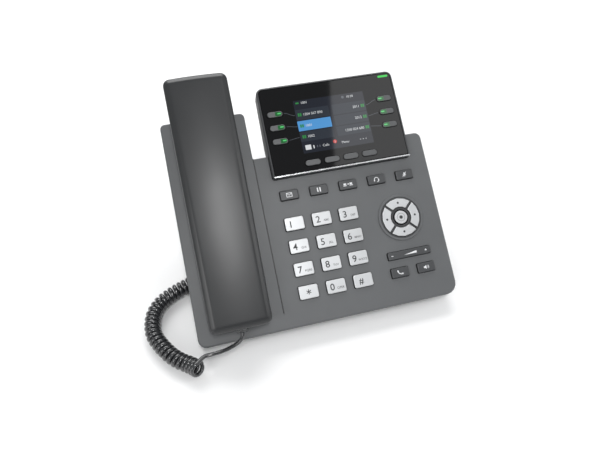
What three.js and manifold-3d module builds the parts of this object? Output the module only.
// Desk IP phone: a tilted casing on a clip-on stand, with a raised display, sprung keys,
// a navigation ring, a volume rocker and a corded handset in its cradle.
//
// Millimetres. The row frame is +Z up, +X to the right of a person at the phone and +Y
// away from them, with the desk at z = 0. Most pieces are drawn in the face frame: u runs
// across the casing from its middle line, v runs up the sloping face from its lower edge,
// and w stands out of the face, with the face itself at w = 0.
import * as THREE from 'three';
import { mergeVertices } from 'three/addons/utils/BufferGeometryUtils.js';
import Module from 'manifold-3d';

const wasm = await Module();
wasm.setup();

// ---- Driving dimensions ----

const TILT = THREE.MathUtils.degToRad(34); // slope of the face from the desk

const WIDTH = 203.5; // the casing, across
const BODY_TOP = 132.8; // upper edge of the key side, along the slope
const CRADLE_TOP = 170.8; // upper edge of the cradle column
const CRADLE_WIDTH = 65;
const COVER_DEPTH = 14; // front cover, face to parting line
const CASE_DEPTH = 34; // face to flat back
const TOP_DEPTH = 24; // face to back at the cradle's upper edge
const TOE_DEPTH = 16; // face to underside at the lower edge
const SLOPE_START = 118; // where the back starts to slope towards the upper edge
const WALL = 2.4;
const EDGE_ROUND = 1.5;
const POST_RADIUS = 3.6; // screw posts
const GROOVE_LOW = 12; // joint line beside the cradle
const GROOVE_WIDTH = 0.9;
const GROOVE_DEPTH = 1.2;

const GAP = 0.3; // between pieces that rest on each other
const KEY_CLEARANCE = 0.35; // around a moving key
const FIT = 0.4; // around a piece that is pushed into place

const KEY_PITCH_U = 21.6; // dial keys
const KEY_PITCH_V = 17.6;
const KEY_WIDTH = 15.1;
const KEY_HEIGHT = 10.3;
const DIAL_MARGIN = 43.05; // middle column of the dial keys from the cradle's edge
const DIAL_V = 24.4; // lowest row of the dial keys
const KEY_PROUD = 1.6; // top of a released key above the face
const KEY_BELOW = 2; // underside of a released key below the face
const KEY_ROUND = 1.3;
const KEY_EDGE = 0.4;
const KEY_TRAVEL = 1;
const MAT_THICKNESS = 1.2;
const BOARD_THICKNESS = 1.6;
const BOARD_INSET = 15; // main board inside the casing's edges
const MAT_INSET = 8; // key mat inside the edges beside it
const MAT_MARGIN = 3; // and past the first and last rows of keys
const DOME_GAP = 0.5; // under a pressed key

const SMALL_KEY_WIDTH = 14.3; // function keys
const SMALL_KEY_HEIGHT = 7.5;
const SMALL_KEY_ROUND = 0.9;
const FUNCTION_DROP = 13.6; // function keys below the display
const FUNCTION_PITCH = 23.66;

const NAV_MARGIN = 32.75; // navigation ring, rocker and two keys from the right edge
const NAV_V = 66.6;
const NAV_RIM = 2.8; // width of the raised disc outside the arrow keys
const NAV_DISC_PROUD = 1;
const NAV_OUTER = 15.5; // arrow keys
const NAV_SPOKE = 1.5; // width between two arrow keys
const OK_RADIUS = 5.4;
const OK_GAP = 1.1; // dark ring around the middle key
const NAV_LAND = 1.8; // disc between the dark ring and the arrow keys
const ROCKER_V = 37.7;
const ROCKER_WIDTH = 35.5;
const ROCKER_HEIGHT = 6;

const DISPLAY_MARGIN = 14.2; // raised display housing from the right edge
const DISPLAY_WIDTH = 112.5;
const DISPLAY_HEIGHT = 73;
const DISPLAY_LAP = 19.4; // part of its height that is let into the casing
const DISPLAY_PROUD = 4.8;
const DISPLAY_TOP_DEPTH = 7;
const DISPLAY_WALL = 2.2;
const DISPLAY_CORNER = 5; // its two upper corners
const DISPLAY_LOW_CORNER = 1.8;
const DISPLAY_FLAT = 30; // part of its back that stays as deep as the front cover
const LENS_RIM = 1.5; // housing left visible around the lens
const LENS_THICKNESS = 1.8;
const SCREEN_WIDTH = 57.6; // active area, 2.8 inches across its diagonal
const SCREEN_HEIGHT = 43.2;
const SCREEN_RISE = 37.2; // middle of the screen above the display's lower edge
const SCREEN_BORDER = 3;
const SCREEN_DEPTH = 3;
const LINE_KEY_U = 44.9; // line keys each side of the display's middle
const LINE_KEY_RISE = 39.1; // middle line key above the display's lower edge
const LINE_KEY_PITCH = 11;
const SOFT_KEY_RISE = 7.6;
const SOFT_KEY_PITCH = 15.4;
const PILL_WIDTH = 12.2;
const PILL_HEIGHT = 4.5;
const PILL_PROUD = 0.8;
const PILL_BELOW = 2; // underside below the lens

const HANDSET_START = 8.9; // lower end of the handset along the slope
const HANDSET_OVERHANG = 25.3; // its upper end past the cradle
const HANDSET_WIDTH_LOW = 44.8;
const HANDSET_WIDTH_HIGH = 47.2;
const HANDSET_CORNER = 5;
const HANDSET_EDGE = 3.2;
const HANDSET_WALL = 2.2;
const HANDSET_LOW = 18.5; // outer surface above the face at the lower end
const HANDSET_HIGH = 23.5; // and at the upper end
const HANDSET_ARCH = 2; // rise of the outer surface between them
const HANDSET_SHELL = 8; // depth of the back shell
const HANDSET_REST = 1.6; // underside above the face at the ends
const HANDSET_GRIP = 6.4; // extra height of the underside along the grip
const GRIP_RAMP = 20;
const BOSS_WIDTH = 37; // earpiece and mouthpiece blocks under the handset
const BOSS_DEPTH = 6.2; // their undersides below the face
const BOSS_EDGE = 1.6;
const EAR_MARGIN = 30.1; // middle of the earpiece block from the handset's upper end
const EAR_LENGTH = 42;
const MOUTH_V = 28;
const MOUTH_LENGTH = 27;
const WELL_CLEARANCE = 1.7;
const WELL_CORNER = 7;
const RECEIVER_RADIUS = 12.5;
const RECEIVER_DEPTH = 5;
const EAR_SLOT = [11, 1.6]; // sound slots of the earpiece, and their pitch
const EAR_SLOT_PITCH = 4;
const SWITCH_WIDTH = 9;
const SWITCH_HEIGHT = 6;
const SWITCH_LENGTH = 7;
const SWITCH_RISE = 9; // middle of the switch above the lower edge of the upper well
const TAB_WIDTH = 12; // tab that holds the handset when the phone hangs on a wall
const TAB_HEIGHT = 15;
const TAB_DEPTH = 2.6;
const TAB_DROP = 14; // middle of the tab below the upper well
const TAB_LIP = 3; // length of its raised lip
const TAB_LIP_INSET = 2; // the lip is narrower on each side

const PLUG_WIDTH = 7.7; // four-contact handset plugs
const PLUG_HEIGHT = 6.4;
const PLUG_LENGTH = 12;
const PLUG_OUTSIDE = 2.6; // part of a plug that stands out of its socket
const PLUG_W = 6.4; // handset socket above the face

const BAY_LEFT = -76; // port bay in the back
const BAY_RIGHT = 40;
const BAY_LOW = 44;
const BAY_HIGH = 84;
const BAY_DEPTH = 15;
const JACK_DEPTH = 15;
const HANDSET_JACK_U = -30;
const HANDSET_JACK_PITCH = 13;
const NETWORK_JACK_U = 12;
const NETWORK_JACK_PITCH = 16;
const POWER_JACK_U = -60;
const JACK_HEIGHT = 13.4;
const SPEAKER_MARGIN = 29.75; // middle of the loudspeaker from the right edge
const SPEAKER_V = 62;
const SPEAKER_RADIUS = 17;
const SPEAKER_FRAME = 3.5; // depth of the frame around the cone
const SPEAKER_MAGNET = 10.2; // radius of the magnet
const SPEAKER_DEPTH = 9;
const SPEAKER_SLOTS = 3; // slots on each side of the middle one
const SLOT_INSET = 2; // ends of the slots inside the loudspeaker's rim
const KEYHOLE_U = 62; // wall-mounting keyholes, each side of the middle line
const KEYHOLE_V = 104;
const KEYHOLE_RADIUS = 4.2;
const KEYHOLE_NECK = 4.4;
const KEYHOLE_RISE = 6; // middle of the neck above the round hole
const KEYHOLE_SLOT = 9; // length of the neck

const STAND_WIDTH = 92;
const STAND_LOW = 88; // stand plate along the back
const STAND_HIGH = 117;
const STAND_WALL = 3;
const STAND_REACH = 140; // rear edge of the stand's foot from the lower edge
const STAND_FOOT = 14;
const HOOK_U = 36;
const HOOK_WIDTH = 12;
const HOOK_THICK = 3.2;
const HOOK_MARGIN = 6; // hooks inside the plate's edges
const STAND_KNEE = 4; // thickening where the leg meets the foot
const FOOT_HEIGHT = 2;
const FOOT_DEPTH = 11;
const TOE_FOOT_Y = 20; // middle of the front foot behind the lower edge
const TOE_FOOT_INSET = 25; // its ends inside the casing's sides
const HEEL_FOOT_INSET = 4;

const CORD_DIAMETER = 3;
const COIL_DIAMETER = 13;

// Places that follow from the sizes above.
const LEFT = -WIDTH / 2;
const RIGHT = WIDTH / 2;
const CRADLE_RIGHT = LEFT + CRADLE_WIDTH;
const CRADLE_U = LEFT + CRADLE_WIDTH / 2;
const DIAL_U = CRADLE_RIGHT + DIAL_MARGIN;
const NAV_U = RIGHT - NAV_MARGIN;
const NAV_DISC = NAV_OUTER + NAV_RIM;
const OK_HOLE = OK_RADIUS + OK_GAP;
const NAV_INNER = OK_HOLE + NAV_LAND;
const SPEAKER_U = RIGHT - SPEAKER_MARGIN;
const DISPLAY_U = RIGHT - DISPLAY_MARGIN - DISPLAY_WIDTH / 2;
const DISPLAY_BOTTOM = BODY_TOP - DISPLAY_LAP;
const DISPLAY_TOP = DISPLAY_BOTTOM + DISPLAY_HEIGHT;
const SCREEN_V = DISPLAY_BOTTOM + SCREEN_RISE;
const LINE_KEY_V = DISPLAY_BOTTOM + LINE_KEY_RISE;
const SOFT_KEY_V = DISPLAY_BOTTOM + SOFT_KEY_RISE;
const FUNCTION_V = DISPLAY_BOTTOM - FUNCTION_DROP;
const HANDSET_END = CRADLE_TOP + HANDSET_OVERHANG;
const EAR_V = HANDSET_END - EAR_MARGIN;
const BACK = -CASE_DEPTH;
const BAY_CEILING = BACK + BAY_DEPTH;
const BOARD_LOW = BAY_CEILING + WALL + 2 * GAP; // main board, over the port bay
const JACK_W = BOARD_LOW - GAP - JACK_HEIGHT / 2;
const EDGE_HEIGHT = FOOT_HEIGHT + GAP + TOE_DEPTH * Math.cos(TILT); // lower edge above the desk

// ---- Colours ----

const finish = (color, roughness, metalness = 0) =>
  new THREE.MeshStandardMaterial({ color, roughness, metalness });

const CASING = finish(0x5c5e61, 0.55);
const REAR = finish(0x3f4144, 0.65);
const HANDSET = finish(0x434548, 0.42);
const SILVER = finish(0xd9dadb, 0.35, 0.2);
const DARK_KEY = finish(0x4a4c4f, 0.5);
const GLOSS_BLACK = finish(0x0b0c0d, 0.08);
const GREY_PILL = finish(0x6d6f71, 0.45);
const RUBBER = finish(0x1d1e1f, 0.9);
const SILICONE = finish(0xb9bcbe, 0.8);
const BOARD = finish(0x1f5c3a, 0.6);
const SOCKET = finish(0x202124, 0.5);
const CORD = finish(0x26272a, 0.5);
const CLEAR_PLUG = finish(0xb8c0c4, 0.2);

// ---- Shapes and solids ----

// Outline through corners [x, y, radius], each rounded by an arc of its own radius.
function outline(corners, steps = 4) {
  const points = [];
  corners.forEach(([x, y, radius = 0], i) => {
    const corner = new THREE.Vector2(x, y);
    if (!radius) {
      points.push(corner);
      return;
    }
    const toward = ([px, py]) => new THREE.Vector2(px - x, py - y).normalize();
    const before = toward(corners.at(i - 1));
    const after = toward(corners[(i + 1) % corners.length]);
    const half = Math.acos(before.dot(after)) / 2;
    const centre = before.clone().add(after).setLength(radius / Math.sin(half)).add(corner);
    const reach = radius / Math.tan(half);
    const first = before.clone().multiplyScalar(reach).add(corner).sub(centre);
    const last = after.clone().multiplyScalar(reach).add(corner).sub(centre);
    let sweep = last.angle() - first.angle();
    if (sweep > Math.PI) sweep -= 2 * Math.PI;
    if (sweep < -Math.PI) sweep += 2 * Math.PI;
    for (let k = 0; k <= steps; k++)
      points.push(first.clone().rotateAround(new THREE.Vector2(), (sweep * k) / steps).add(centre));
  });
  return new THREE.Shape(points);
}

// Rectangle with rounded corners about a centre.
function rectangle(u, v, width, height, radius = 0, steps = 4) {
  const [a, b] = [width / 2, height / 2];
  return outline(
    [
      [u - a, v - b, radius],
      [u + a, v - b, radius],
      [u + a, v + b, radius],
      [u - a, v + b, radius],
    ],
    steps,
  );
}

function circle(u, v, radius, sides = 24) {
  const point = (k) => {
    const turn = (2 * Math.PI * k) / sides;
    return new THREE.Vector2(u + radius * Math.cos(turn), v + radius * Math.sin(turn));
  };
  return new THREE.Shape(Array.from({ length: sides }, (_, k) => point(k)));
}

// A closed geometry as a solid that can be joined and cut.
function solid(geometry) {
  const bare = geometry.clone();
  bare.deleteAttribute('normal');
  bare.deleteAttribute('uv');
  const merged = mergeVertices(bare, 1e-4);
  return new wasm.Manifold(
    new wasm.Mesh({
      numProp: 3,
      vertProperties: merged.attributes.position.array,
      triVerts: new Uint32Array(merged.index.array),
    }),
  );
}

function geometryOf(piece) {
  const mesh = piece.getMesh();
  const geometry = new THREE.BufferGeometry();
  geometry.setAttribute('position', new THREE.BufferAttribute(mesh.vertProperties, 3));
  geometry.setIndex(new THREE.BufferAttribute(mesh.triVerts, 1));
  geometry.computeVertexNormals();
  return geometry;
}

// Straight block between two heights of w.
function prism(shape, low, high) {
  const geometry = new THREE.ExtrudeGeometry(shape, { depth: high - low, bevelEnabled: false });
  return solid(geometry.translate(0, 0, low));
}

// Block whose upper and lower rims are rounded by an edge radius.
function softPrism(shape, low, high, edge, steps = 1) {
  const geometry = new THREE.ExtrudeGeometry(shape, {
    depth: high - low - 2 * edge,
    bevelThickness: edge,
    bevelSize: edge,
    bevelOffset: -edge,
    bevelSegments: steps,
  });
  return solid(geometry.translate(0, 0, low + edge));
}

// Block across the casing, from an outline drawn in v and w.
function across(shape, left, right) {
  const geometry = new THREE.ExtrudeGeometry(shape, { depth: right - left, bevelEnabled: false });
  const [u, v, w] = [[1, 0, 0], [0, 1, 0], [0, 0, 1]].map((a) => new THREE.Vector3(...a));
  geometry.translate(0, 0, left);
  return solid(geometry.applyMatrix4(new THREE.Matrix4().makeBasis(v, w, u)));
}

// Closed solid through rings that have the same number of points, with flat ends.
function loft(rings) {
  const count = rings[0].length;
  const position = rings.flat().flatMap((p) => p.toArray());
  const index = [];
  for (let i = 0; i + 1 < rings.length; i++)
    for (let j = 0; j < count; j++) {
      const [a, b] = [i * count + j, i * count + ((j + 1) % count)];
      index.push(a, b + count, b, a, a + count, b + count);
    }
  const last = (rings.length - 1) * count;
  for (let j = 1; j + 1 < count; j++) {
    index.push(0, j, j + 1);
    index.push(last, last + j + 1, last + j);
  }
  const geometry = new THREE.BufferGeometry();
  geometry.setAttribute('position', new THREE.Float32BufferAttribute(position, 3));
  return solid(geometry.setIndex(index));
}

const lerp = THREE.MathUtils.lerp;
const smooth = THREE.MathUtils.smoothstep;

// ---- Assembly ----

const phone = new THREE.Group(); // stands on the desk, lower edge of the face at y = 0
const face = new THREE.Group(); // the face frame
face.rotation.x = TILT;
face.position.z = EDGE_HEIGHT;
phone.add(face);
const desk = new THREE.Group();

function add(group, name, piece, material) {
  const mesh = new THREE.Mesh(piece.isBufferGeometry ? piece : geometryOf(piece), material);
  mesh.name = name;
  group.add(mesh);
}

// ---- Casing ----

const FAR = 60; // reach of a cutter past whatever it cuts

function bodyOutline(inset) {
  const round = (radius) => Math.max(radius - inset, 0.4);
  return outline([
    [LEFT + inset, inset, round(6)],
    [RIGHT - inset, inset, round(9)],
    [RIGHT - inset, BODY_TOP - inset, round(5)],
    [CRADLE_RIGHT - inset, BODY_TOP - inset, 1.2 + inset],
    [CRADLE_RIGHT - inset, CRADLE_TOP - inset, round(3.6)],
    [LEFT + inset, CRADLE_TOP - inset, round(3.6)],
  ]);
}

// Side profile of the casing's back, drawn in v and w, moved inwards by an inset. Its toe is
// level with the desk, its middle is parallel to the face and its upper part slopes forwards.
function backProfile(inset, top) {
  const under = inset / Math.cos(TILT);
  const toe = (CASE_DEPTH - TOE_DEPTH - inset + under) / Math.tan(TILT);
  const rise = (CASE_DEPTH - TOP_DEPTH) / (CRADLE_TOP - SLOPE_START);
  const end = CRADLE_TOP - inset;
  return outline([
    [inset, top],
    [inset, -TOE_DEPTH - inset * Math.tan(TILT) + under],
    [toe, -CASE_DEPTH + inset],
    [SLOPE_START, -CASE_DEPTH + inset],
    [end, -CASE_DEPTH + (end - SLOPE_START) * rise + inset],
    [end, top],
  ]);
}

const WELL_WIDTH = BOSS_WIDTH + 2 * WELL_CLEARANCE;
const WELL_FLOOR = -BOSS_DEPTH - WELL_CLEARANCE;
const EAR_WELL_LOW = EAR_V - EAR_LENGTH / 2 - WELL_CLEARANCE;
const SWITCH_V = EAR_WELL_LOW + SWITCH_RISE; // hook switch, in the floor of the upper well
const TAB_V = EAR_WELL_LOW - TAB_DROP; // handset tab, in the face below the upper well

function displayOutline(inset) {
  const half = DISPLAY_WIDTH / 2 - inset;
  const low = Math.max(DISPLAY_LOW_CORNER - inset, 0.4);
  const high = DISPLAY_CORNER - inset;
  return outline([
    [DISPLAY_U - half, DISPLAY_BOTTOM + inset, low],
    [DISPLAY_U + half, DISPLAY_BOTTOM + inset, low],
    [DISPLAY_U + half, DISPLAY_TOP - inset, high],
    [DISPLAY_U - half, DISPLAY_TOP - inset, high],
  ]);
}

// A quarter of the navigation ring: the arrow key's sector, moved outwards by a margin.
function arrowShape(turn, margin) {
  const half = NAV_SPOKE / 2 - margin;
  const point = (radius, angle) =>
    new THREE.Vector2(NAV_U + radius * Math.cos(angle), NAV_V + radius * Math.sin(angle));
  const arc = (radius, sense) => {
    const reach = Math.PI / 4 - Math.asin(half / radius);
    return [-1, -0.5, 0, 0.5, 1].map((k) => point(radius, turn + sense * k * reach));
  };
  return new THREE.Shape([...arc(NAV_OUTER + margin, 1), ...arc(NAV_INNER - margin, -1)]);
}

// ---- Keys of the face: each has an outline that takes a margin, and a height above the face ----

const DIAL_ROWS = [
  ['key_star', 'key_0', 'key_hash'],
  ['key_7', 'key_8', 'key_9'],
  ['key_4', 'key_5', 'key_6'],
  ['key_1', 'key_2', 'key_3'],
];
const ARROWS = ['nav_right', 'nav_up', 'nav_left', 'nav_down'];
const FUNCTIONS = ['key_message', 'key_hold', 'key_transfer', 'key_headset', 'key_mute'];
const NAV_PROUD = NAV_DISC_PROUD + 0.5;

const faceKeys = [];

function barKey(name, u, v, width, height, radius, material) {
  const shape = (m) => rectangle(u, v, width + 2 * m, height + 2 * m, radius + m, 3);
  faceKeys.push({ name, shape, material, proud: KEY_PROUD });
}

DIAL_ROWS.forEach((row, r) =>
  row.forEach((name, c) => {
    const [u, v] = [DIAL_U + (c - 1) * KEY_PITCH_U, DIAL_V + r * KEY_PITCH_V];
    barKey(name, u, v, KEY_WIDTH, KEY_HEIGHT, KEY_ROUND, SILVER);
  }),
);
const smallKey = (name, u, v) =>
  barKey(name, u, v, SMALL_KEY_WIDTH, SMALL_KEY_HEIGHT, SMALL_KEY_ROUND, DARK_KEY);
FUNCTIONS.forEach((name, i) => {
  const steps = FUNCTIONS.length - 1 - i;
  smallKey(name, NAV_U + KEY_PITCH_U / 2 - steps * FUNCTION_PITCH, FUNCTION_V);
});
smallKey('key_call', NAV_U - KEY_PITCH_U / 2, DIAL_V);
smallKey('key_speaker', NAV_U + KEY_PITCH_U / 2, DIAL_V);
barKey('volume_rocker', NAV_U, ROCKER_V, ROCKER_WIDTH, ROCKER_HEIGHT, SMALL_KEY_ROUND, DARK_KEY);
ARROWS.forEach((name, i) => {
  const shape = (m) => arrowShape((i * Math.PI) / 2, m);
  faceKeys.push({ name, shape, material: SILVER, proud: NAV_PROUD });
});
const okShape = (m) => circle(NAV_U, NAV_V, m ? OK_HOLE : OK_RADIUS, 20);
faceKeys.push({ name: 'nav_ok', shape: okShape, material: SILVER, proud: NAV_PROUD });

for (const { name, shape, material, proud } of faceKeys)
  add(face, name, softPrism(shape(0), -KEY_BELOW, proud, KEY_EDGE), material);

// ---- Front cover: a shell with wells for the handset and a hole for every key ----

const ABOVE = DISPLAY_PROUD + 1; // cutters end here, over everything that stands on the face
const POST_END = Math.max(-COVER_DEPTH, BOARD_LOW + BOARD_THICKNESS + GAP);
const POSTS = [
  [CRADLE_RIGHT + 6, 9],
  [RIGHT - 10, 10],
  [RIGHT - 7, BODY_TOP - 8],
  [LEFT + 8, 75],
  [LEFT + 8, CRADLE_TOP - 8],
];

// Well for a block under the handset, from one end to the other along the slope.
function wellShape(low, high, margin) {
  const [width, length] = [WELL_WIDTH + 2 * margin, high - low + 2 * margin];
  return rectangle(CRADLE_U, (low + high) / 2, width, length, WELL_CORNER + margin);
}

function frontCover() {
  const blank = softPrism(bodyOutline(0), -COVER_DEPTH - FAR, 0, EDGE_ROUND, 3);
  const level = rectangle(0, CRADLE_TOP / 2, 2 * WIDTH, 2 * CRADLE_TOP);
  const hollow = prism(bodyOutline(WALL), -COVER_DEPTH - FAR, -WALL);
  const earWell = (m) => wellShape(EAR_WELL_LOW, CRADLE_TOP + FAR, m);
  const reach = MOUTH_LENGTH / 2 + WELL_CLEARANCE;
  const mouthWell = (m) => wellShape(MOUTH_V - reach, MOUTH_V + reach, m);
  const navDisc = softPrism(circle(NAV_U, NAV_V, NAV_DISC, 40), -WALL, NAV_DISC_PROUD, 0.4);

  let cover = blank.intersect(prism(level, -COVER_DEPTH, ABOVE)).subtract(hollow);
  for (const well of [earWell, mouthWell])
    cover = cover.add(prism(well(WALL), WELL_FLOOR - WALL, -WALL / 2).intersect(blank));
  for (const [u, v] of POSTS)
    cover = cover.add(prism(circle(u, v, POST_RADIUS, 12), POST_END, -WALL / 2));
  cover = cover.add(navDisc);

  const switchHole = rectangle(
    CRADLE_U,
    SWITCH_V,
    SWITCH_WIDTH + 2 * KEY_CLEARANCE,
    SWITCH_HEIGHT + 2 * KEY_CLEARANCE,
  );
  const tabSlot = rectangle(CRADLE_U, TAB_V, TAB_WIDTH + 2 * FIT, TAB_HEIGHT + 2 * FIT, 1);
  const groove = rectangle(
    CRADLE_RIGHT,
    (GROOVE_LOW + BODY_TOP + FAR) / 2,
    GROOVE_WIDTH,
    BODY_TOP + FAR - GROOVE_LOW,
  );
  const cuts = [
    ...faceKeys.map(({ shape }) => prism(shape(KEY_CLEARANCE), -COVER_DEPTH, ABOVE)),
    prism(earWell(0), WELL_FLOOR, ABOVE),
    prism(mouthWell(0), WELL_FLOOR, ABOVE),
    prism(switchHole, -COVER_DEPTH, ABOVE),
    prism(tabSlot, -TAB_DEPTH - WALL, ABOVE),
    prism(groove, -GROOVE_DEPTH, ABOVE),
    prism(displayOutline(-FIT), -COVER_DEPTH - 1, ABOVE),
  ];
  return cuts.reduce((whole, cut) => whole.subtract(cut), cover);
}
add(face, 'front_cover', frontCover(), CASING);

// ---- Rear cover: shell, port bay, vents, slots for the stand and wall keyholes ----

const HOOKS = [-1, 1].flatMap((side) =>
  [STAND_LOW + HOOK_MARGIN, STAND_HIGH - HOOK_MARGIN].map((v) => [HOOK_U * side, v]),
);

// Jack blocks on the main board, each with the u of its sockets and their size.
const JACKS = [
  { name: 'power_jack', width: 10, bore: 3.1, sockets: [POWER_JACK_U] },
  {
    name: 'handset_jacks',
    width: 27,
    socket: [PLUG_WIDTH + 2 * FIT, PLUG_HEIGHT + 2 * FIT],
    sockets: [-1, 1].map((side) => HANDSET_JACK_U + (side * HANDSET_JACK_PITCH) / 2),
  },
  {
    name: 'network_jacks',
    width: 33.5,
    socket: [12, 8.2],
    sockets: [-1, 1].map((side) => NETWORK_JACK_U + (side * NETWORK_JACK_PITCH) / 2),
  },
];
const middle = (values) => values.reduce((sum, value) => sum + value, 0) / values.length;

function bayShape(margin) {
  const [left, right] = [BAY_LEFT - margin, BAY_RIGHT + margin];
  const [low, high] = [BAY_LOW - margin, BAY_HIGH + margin];
  return rectangle((left + right) / 2, (low + high) / 2, right - left, high - low, 2 + margin, 2);
}

// Block along the slope, centred on a place in u and w.
function along(u, w, width, height, low, high) {
  const shape = rectangle((low + high) / 2, w, high - low, height);
  return across(shape, u - width / 2, u + width / 2);
}

const NECK_ROUND = KEYHOLE_NECK / 2 - 0.1;

function rearCover() {
  const top = -COVER_DEPTH - GAP;
  const rounded = softPrism(bodyOutline(0), BACK, FAR, EDGE_ROUND, 3);
  const outer = across(backProfile(0, top), -WIDTH, WIDTH).intersect(rounded);
  const inner = across(backProfile(WALL, top + 1), -WIDTH, WIDTH);
  let cover = outer.subtract(inner.intersect(prism(bodyOutline(WALL), BACK, FAR)));
  cover = cover.add(prism(bayShape(WALL), BACK + WALL / 2, BAY_CEILING + WALL));

  const through = (shape) => prism(shape, BACK - 1, BACK + WALL + 1);
  const cuts = [prism(bayShape(0), BACK - 1, BAY_CEILING)];
  for (const { width, sockets } of JACKS) {
    const [wide, tall] = [width + 2 * GAP, JACK_HEIGHT + 2 * GAP];
    cuts.push(along(middle(sockets), JACK_W, wide, tall, BAY_HIGH - 1, BAY_HIGH + WALL + 1));
  }
  const row = SPEAKER_RADIUS / (SPEAKER_SLOTS + 1);
  for (let k = -SPEAKER_SLOTS; k <= SPEAKER_SLOTS; k++) {
    const half = Math.sqrt(SPEAKER_RADIUS ** 2 - (row * k) ** 2) - SLOT_INSET;
    cuts.push(through(rectangle(SPEAKER_U, SPEAKER_V + row * k, 2 * half, row * 0.45)));
  }
  for (const [u, v] of HOOKS)
    cuts.push(through(rectangle(u, v, HOOK_WIDTH + 2 * FIT, HOOK_THICK + 2 * FIT)));
  for (const side of [-1, 1]) {
    cuts.push(through(circle(side * KEYHOLE_U, KEYHOLE_V, KEYHOLE_RADIUS, 16)));
    const neckV = KEYHOLE_V + KEYHOLE_RISE;
    const neck = [side * KEYHOLE_U, neckV, KEYHOLE_NECK, KEYHOLE_SLOT, NECK_ROUND];
    cuts.push(through(rectangle(...neck)));
  }
  return cuts.reduce((whole, cut) => whole.subtract(cut), cover);
}
add(face, 'rear_cover', rearCover(), REAR);

// ---- Inside the casing ----

function jackBlock({ width, sockets, socket, bore }) {
  const front = BAY_HIGH + GAP;
  let block = along(middle(sockets), JACK_W, width, JACK_HEIGHT, front, front + JACK_DEPTH);
  for (const u of sockets) {
    if (socket)
      block = block.subtract(along(u, JACK_W, ...socket, front - 1, front + PLUG_LENGTH));
    if (!bore) continue;
    const barrel = new THREE.CylinderGeometry(bore, bore, 2 * PLUG_LENGTH, 16);
    const pin = new THREE.CylinderGeometry(1, 1, PLUG_LENGTH, 10);
    block = block.subtract(solid(barrel.translate(u, front, JACK_W)));
    block = block.add(solid(pin.translate(u, front + PLUG_LENGTH / 2 + 1, JACK_W)));
  }
  return block;
}
for (const jack of JACKS) add(face, jack.name, jackBlock(jack), SOCKET);

const [boardLow, boardHigh] = [BAY_LOW + BOARD_INSET, DISPLAY_BOTTOM - FIT];
const mainBoard = rectangle(
  -BOARD_INSET / 2,
  (boardLow + boardHigh) / 2,
  WIDTH - 3 * BOARD_INSET,
  boardHigh - boardLow,
  3,
  2,
);
add(face, 'main_board', prism(mainBoard, BOARD_LOW, BOARD_LOW + BOARD_THICKNESS), BOARD);

const keyArea = rectangle(
  (CRADLE_RIGHT + RIGHT) / 2,
  (DIAL_V + FUNCTION_V) / 2,
  RIGHT - CRADLE_RIGHT - 2 * MAT_INSET,
  FUNCTION_V - DIAL_V + KEY_HEIGHT + 2 * MAT_MARGIN,
  3,
  2,
);
const MAT_TOP = -KEY_BELOW - KEY_TRAVEL - DOME_GAP;
add(face, 'keypad_mat', prism(keyArea, MAT_TOP - MAT_THICKNESS, MAT_TOP), SILICONE);
const KEY_BOARD_TOP = MAT_TOP - MAT_THICKNESS - GAP;
add(face, 'keypad_board', prism(keyArea, KEY_BOARD_TOP - BOARD_THICKNESS, KEY_BOARD_TOP), BOARD);

function loudspeaker() {
  const low = BACK + WALL + GAP;
  const disc = (radius, high) => prism(circle(SPEAKER_U, SPEAKER_V, radius, 32), low, low + high);
  return disc(SPEAKER_RADIUS, SPEAKER_FRAME).add(disc(SPEAKER_MAGNET, SPEAKER_DEPTH));
}
add(face, 'loudspeaker', loudspeaker(), SOCKET);

const switchTop = -BOSS_DEPTH - FIT;
const switchShape = rectangle(CRADLE_U, SWITCH_V, SWITCH_WIDTH, SWITCH_HEIGHT, 1, 2);
add(face, 'hook_switch', softPrism(switchShape, switchTop - SWITCH_LENGTH, switchTop, 0.6), RUBBER);

function handsetTab() {
  const plate = prism(rectangle(CRADLE_U, TAB_V, TAB_WIDTH, TAB_HEIGHT, 0.6, 1), -TAB_DEPTH, -GAP);
  const lipV = TAB_V + (TAB_HEIGHT - TAB_LIP) / 2;
  const lip = rectangle(CRADLE_U, lipV, TAB_WIDTH - 2 * TAB_LIP_INSET, TAB_LIP);
  return plate.add(prism(lip, -TAB_DEPTH, HANDSET_REST - GAP));
}
add(face, 'handset_tab', handsetTab(), CASING);

// ---- Display ----

const LENS_TOP = DISPLAY_PROUD - 0.1;
const LENS_LOW = LENS_TOP - LENS_THICKNESS;

function pill(name, u, v) {
  const shape = (m) =>
    rectangle(u, v, PILL_WIDTH + 2 * m, PILL_HEIGHT + 2 * m, PILL_HEIGHT / 2 - 0.1 + m, 4);
  return { name, shape };
}
const pills = [];
for (const [side, label] of [[-1, 'left'], [1, 'right']])
  for (const k of [1, 2, 3]) {
    const v = LINE_KEY_V + (2 - k) * LINE_KEY_PITCH;
    pills.push(pill(`line_key_${label}_${k}`, DISPLAY_U + side * LINE_KEY_U, v));
  }
for (const k of [1, 2, 3, 4])
  pills.push(pill(`soft_key_${k}`, DISPLAY_U + (k - 2.5) * SOFT_KEY_PITCH, SOFT_KEY_V));
for (const { name, shape } of pills)
  add(face, name, softPrism(shape(0), LENS_LOW - PILL_BELOW, LENS_TOP + PILL_PROUD, 0.3), GREY_PILL);

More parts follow.
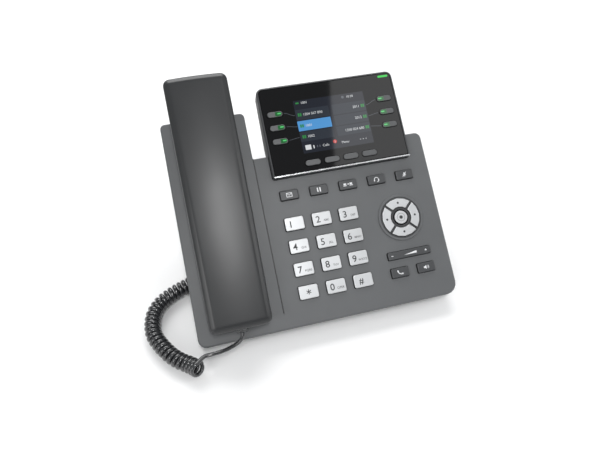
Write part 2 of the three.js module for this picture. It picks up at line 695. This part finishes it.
// Tray behind the lens: its back slopes so that it is thinner at the top.
function displayTray() {
  const profile = outline([
    [DISPLAY_BOTTOM - 1, -COVER_DEPTH],
    [DISPLAY_BOTTOM + DISPLAY_FLAT, -COVER_DEPTH],
    [DISPLAY_TOP + 1, -DISPLAY_TOP_DEPTH],
    [DISPLAY_TOP + 1, ABOVE],
    [DISPLAY_BOTTOM - 1, ABOVE],
  ]);
  const block = softPrism(displayOutline(0), -COVER_DEPTH - FAR, DISPLAY_PROUD, EDGE_ROUND, 3);
  const hollow = prism(displayOutline(DISPLAY_WALL), -DISPLAY_TOP_DEPTH + DISPLAY_WALL, ABOVE);
  const rebate = prism(displayOutline(LENS_RIM), LENS_LOW - GAP, ABOVE);
  return block.intersect(across(profile, -WIDTH, WIDTH)).subtract(hollow).subtract(rebate);
}
add(face, 'display_housing', displayTray(), CASING);

function displayLens() {
  const plate = softPrism(displayOutline(LENS_RIM + GAP), LENS_LOW, LENS_TOP, 0.3);
  return pills.reduce(
    (lens, { shape }) => lens.subtract(prism(shape(KEY_CLEARANCE), LENS_LOW - 1, ABOVE)),
    plate,
  );
}
add(face, 'display_lens', displayLens(), GLOSS_BLACK);

const screenModule = rectangle(
  DISPLAY_U,
  SCREEN_V,
  SCREEN_WIDTH + 2 * SCREEN_BORDER,
  SCREEN_HEIGHT + 2 * SCREEN_BORDER,
  1,
  2,
);
add(face, 'display_panel', prism(screenModule, LENS_LOW - GAP - SCREEN_DEPTH, LENS_LOW - GAP), SOCKET);

// ---- Handset: two shells, lofted along the slope ----

const HANDSET_LENGTH = HANDSET_END - HANDSET_START;
const share = (v) => (v - HANDSET_START) / HANDSET_LENGTH;
const crown = (v) =>
  lerp(HANDSET_LOW, HANDSET_HIGH, share(v)) + HANDSET_ARCH * Math.sin(Math.PI * share(v));
const parting = (v) => crown(v) - HANDSET_SHELL;
const underside = (v) => {
  const lower = smooth(v, MOUTH_V + MOUTH_LENGTH / 2, MOUTH_V + MOUTH_LENGTH / 2 + GRIP_RAMP);
  const upper = smooth(v, EAR_V - EAR_LENGTH / 2 - GRIP_RAMP, EAR_V - EAR_LENGTH / 2);
  return HANDSET_REST + HANDSET_GRIP * (lower - upper);
};

// Stations along the handset, close together where its ends round off.
function stations(inset) {
  const [start, end] = [HANDSET_START + inset, HANDSET_END - inset];
  const ends = [0, 0.08, 0.3, 0.6, 1].map((k) => k * HANDSET_CORNER);
  const inner = Array.from({ length: 13 }, (_, k) =>
    lerp(start + HANDSET_CORNER, end - HANDSET_CORNER, (k + 1) / 14),
  );
  return [...ends.map((d) => start + d), ...inner, ...ends.map((d) => end - d).reverse()];
}

// How far a rounded corner draws in at a distance from the end.
function roundIn(distance, radius) {
  const rest = Math.max(radius - distance, 0);
  return radius - Math.sqrt(Math.max(radius ** 2 - rest ** 2, 0));
}

// Half of the handset: the back's rings lie above the parting line, the face's below it.
function handsetHalf(back, inset, opening) {
  const rings = stations(inset).map((v) => {
    const fromEnd = Math.min(v - HANDSET_START, HANDSET_END - v) - inset;
    const wide = lerp(HANDSET_WIDTH_LOW, HANDSET_WIDTH_HIGH, share(v)) / 2;
    const half = wide - inset - roundIn(fromEnd, HANDSET_CORNER);
    const edge = HANDSET_EDGE - inset / 2;
    const open = parting(v) + (back ? GAP / 2 - opening : opening - GAP / 2);
    const skin = back ? crown(v) - inset : underside(v) + inset;
    const sense = back ? 1 : -1;
    const drop = roundIn(fromEnd, edge);
    const bend = [0, 0.33, 0.67, 1].map((k) => (k * Math.PI) / 2);
    const arc = bend.map((a) => [
      half - edge * (1 - Math.cos(a)),
      skin - sense * (drop + edge * (1 - Math.sin(a))),
    ]);
    const right = [[half, open], ...arc];
    const mirrored = right.map(([u, w]) => [-u, w]).reverse();
    const ring = [...right, ...mirrored];
    if (!back) ring.reverse();
    return ring.map(([u, w]) => new THREE.Vector3(CRADLE_U + u, v, w));
  });
  return loft(rings);
}

function handsetBack() {
  return handsetHalf(true, 0, 0).subtract(handsetHalf(true, HANDSET_WALL, 1));
}

const blockShape = (v, length, inset) =>
  rectangle(CRADLE_U, v, BOSS_WIDTH - 2 * inset, length - 2 * inset, WELL_CORNER - inset);

function handsetFace() {
  const [ear, mouth] = [[EAR_V, EAR_LENGTH], [MOUTH_V, MOUTH_LENGTH]];
  const top = HANDSET_REST + HANDSET_WALL;
  const inside = HANDSET_WALL - BOSS_DEPTH;
  let shell = handsetHalf(false, 0, 0);
  for (const block of [ear, mouth])
    shell = shell.add(softPrism(blockShape(...block, 0), -BOSS_DEPTH, top + 2, BOSS_EDGE, 2));
  shell = shell.subtract(handsetHalf(false, HANDSET_WALL, 1));
  for (const block of [ear, mouth])
    shell = shell.subtract(prism(blockShape(...block, HANDSET_WALL), inside, top + 3));
  for (const k of [-1, 0, 1]) {
    const slot = rectangle(CRADLE_U, EAR_V + EAR_SLOT_PITCH * k, ...EAR_SLOT);
    shell = shell.subtract(prism(slot, -FAR, top));
  }
  shell = shell.subtract(prism(circle(CRADLE_U, MOUTH_V, 1, 8), -FAR, top));
  const [width, height] = [PLUG_WIDTH + 2 * GAP, PLUG_HEIGHT + 2 * GAP];
  const bottom = HANDSET_START - PLUG_OUTSIDE + PLUG_LENGTH + GAP;
  return shell.subtract(along(CRADLE_U, PLUG_W, width, height, -FAR, bottom));
}
add(face, 'handset_back', handsetBack(), HANDSET);
add(face, 'handset_face', handsetFace(), HANDSET);

const receiverLow = -BOSS_DEPTH + HANDSET_WALL + GAP;
const receiverShape = circle(CRADLE_U, EAR_V, RECEIVER_RADIUS, 24);
const receiver = prism(receiverShape, receiverLow, receiverLow + RECEIVER_DEPTH);
add(face, 'handset_receiver', receiver, SOCKET);

// ---- Plugs and cord ----

function plug(u, w, mouth) {
  const outer = mouth - PLUG_OUTSIDE;
  return along(u, w, PLUG_WIDTH, PLUG_HEIGHT, outer, outer + PLUG_LENGTH);
}
const handsetPort = JACKS[1].sockets[1];
add(face, 'handset_plug', plug(CRADLE_U, PLUG_W, HANDSET_START), CLEAR_PLUG);
add(face, 'base_plug', plug(handsetPort, JACK_W, BAY_HIGH + GAP), CLEAR_PLUG);

// ---- Stand and feet, drawn in the side view (y backwards, z up) ----

// A point of the face frame's side view as y and z on the desk.
const sidePoint = (v, w) => [
  v * Math.cos(TILT) - w * Math.sin(TILT),
  EDGE_HEIGHT + v * Math.sin(TILT) + w * Math.cos(TILT),
];

// Block across the phone, from an outline drawn in y and z.
const sideBlock = (corners, left, right) => across(outline(corners), left, right);

function stand() {
  const [frontLow, frontHigh] = [sidePoint(STAND_LOW, BACK - GAP), sidePoint(STAND_HIGH, BACK - GAP)];
  const inner = sidePoint(STAND_LOW, BACK - GAP - STAND_WALL);
  const bend = sidePoint(STAND_HIGH, BACK - GAP - STAND_WALL);
  const side = STAND_WIDTH / 2;
  const [heel, toe] = [STAND_REACH, STAND_REACH - STAND_FOOT];
  const floor = FOOT_HEIGHT + GAP;
  const plate = sideBlock([frontLow, inner, bend, frontHigh], -side, side);
  const leg = sideBlock(
    [
      frontHigh,
      [bend[0] - STAND_WALL, bend[1]],
      [toe + STAND_KNEE, floor + STAND_WALL],
      [toe, floor + STAND_WALL],
      [toe, floor],
      [heel, floor],
      [heel, floor + STAND_WALL],
      [frontHigh[0] + 5, frontHigh[1] + 1],
    ],
    -side,
    side,
  );
  const cheek = [frontLow, inner, [toe, floor], [heel, floor], frontHigh];
  let whole = plate.add(leg);
  for (const sign of [-1, 1]) {
    const ends = [sign * side, sign * (side - STAND_WALL)].sort((a, b) => a - b);
    whole = whole.add(sideBlock(cheek, ...ends));
  }
  return whole;
}

function standHooks() {
  const [low, high] = [BACK - GAP - STAND_WALL / 2, BACK + WALL + 1];
  const half = HOOK_THICK / 2;
  return HOOKS.map(([u, v]) =>
    along(u, (low + high) / 2, HOOK_WIDTH, high - low, v - half, v + half),
  );
}

// The hooks are drawn in the face frame, so they are turned and lifted onto the desk's.
function hooked(piece) {
  const turned = (hook) =>
    hook.rotate([THREE.MathUtils.radToDeg(TILT), 0, 0]).translate([0, 0, EDGE_HEIGHT]);
  return standHooks().reduce((whole, hook) => whole.add(turned(hook)), piece);
}
add(phone, 'stand', hooked(stand()), REAR);

const toeFoot = rectangle(0, TOE_FOOT_Y, WIDTH - 2 * TOE_FOOT_INSET, FOOT_DEPTH, 3, 3);
const heelWidth = STAND_WIDTH - 2 * HEEL_FOOT_INSET;
const heelFoot = rectangle(0, STAND_REACH - STAND_FOOT / 2, heelWidth, FOOT_DEPTH, 3, 3);
add(phone, 'front_foot', prism(toeFoot, 0, FOOT_HEIGHT), RUBBER);
add(phone, 'stand_foot', prism(heelFoot, 0, FOOT_HEIGHT), RUBBER);

// ---- Free cord: a short tail, the coil lying on the desk, and a tail up to the base ----

// Points of the row frame, each at the middle of the cord or of the coil. The coil lies on the
// desk, and its first end is held up a little by the tail.
const HANDSET_TAIL = [
  [-69.3, -78.2, 24.1],
  [-69.5, -79.5, 23.2],
  [-70.3, -80.5, 21.3],
  [-72.2, -81.4, 19.2],
  [-75.4, -82.3, 17.3],
  [-79.6, -83.1, 15.9],
  [-84.3, -83.7, 14.8],
  [-89.2, -83.9, 14.1],
  [-94, -83.9, 13.8],
  [-98.3, -84.4, 14.1],
  [-100.3, -85.3, 14.4],
];
const COIL_AXIS = [
  [-104.6, -91.2, 10.2],
  [-107.3, -87.8, 8.3],
  [-111.4, -84, 7],
  [-116.6, -80, 6.55],
  [-123.3, -73.3, 6.55],
  [-129.9, -63.3, 6.55],
  [-134.1, -54.1, 6.55],
  [-134.9, -44.4, 6.55],
  [-132.9, -34.4, 6.55],
  [-127.1, -26, 6.55],
  [-117.6, -19.6, 6.55],
  [-105.9, -14.4, 6.55],
  [-95, -9.4, 6.55],
  [-83, -0.4, 6.55],
  [-72, 10.6, 6.55],
  [-58, 18.6, 6.55],
  [-42, 19.6, 6.55],
  [-30, 12.6, 6.55],
  [-24.5, 1.6, 6.55],
];
const BASE_TAIL = [
  [-30.3, -2.2, 1.8],
  [-33, -6.4, 2.6],
  [-33.5, -12.9, 7.5],
  [-31, -17.9, 15.5],
  [-27, -17.4, 25],
  [-24.3, -11.7, 33],
  [-23.5, -5.4, 38],
  [-23.5, 0.8, 41.9],
];

function tube(points, diameter, sides, steps) {
  const path = new THREE.CatmullRomCurve3(points.map((p) => new THREE.Vector3(...p)));
  const section = circle(0, 0, diameter / 2, sides);
  return new THREE.ExtrudeGeometry(section, { extrudePath: path, steps, curveSegments: 1 });
}
add(desk, 'cord_tail_handset', tube(HANDSET_TAIL, CORD_DIAMETER, 8, 16), CORD);
add(desk, 'cord_coil', tube(COIL_AXIS, COIL_DIAMETER, 12, 40), CORD);
add(desk, 'cord_tail_base', tube(BASE_TAIL, CORD_DIAMETER, 8, 18), CORD);

// The frame's origin is under the middle of the phone, not counting its cord.
phone.updateMatrixWorld(true);
const footprint = new THREE.Box3().setFromObject(phone, true);
phone.position.y = -(footprint.min.y + footprint.max.y) / 2;
desk.add(phone);

export default desk;
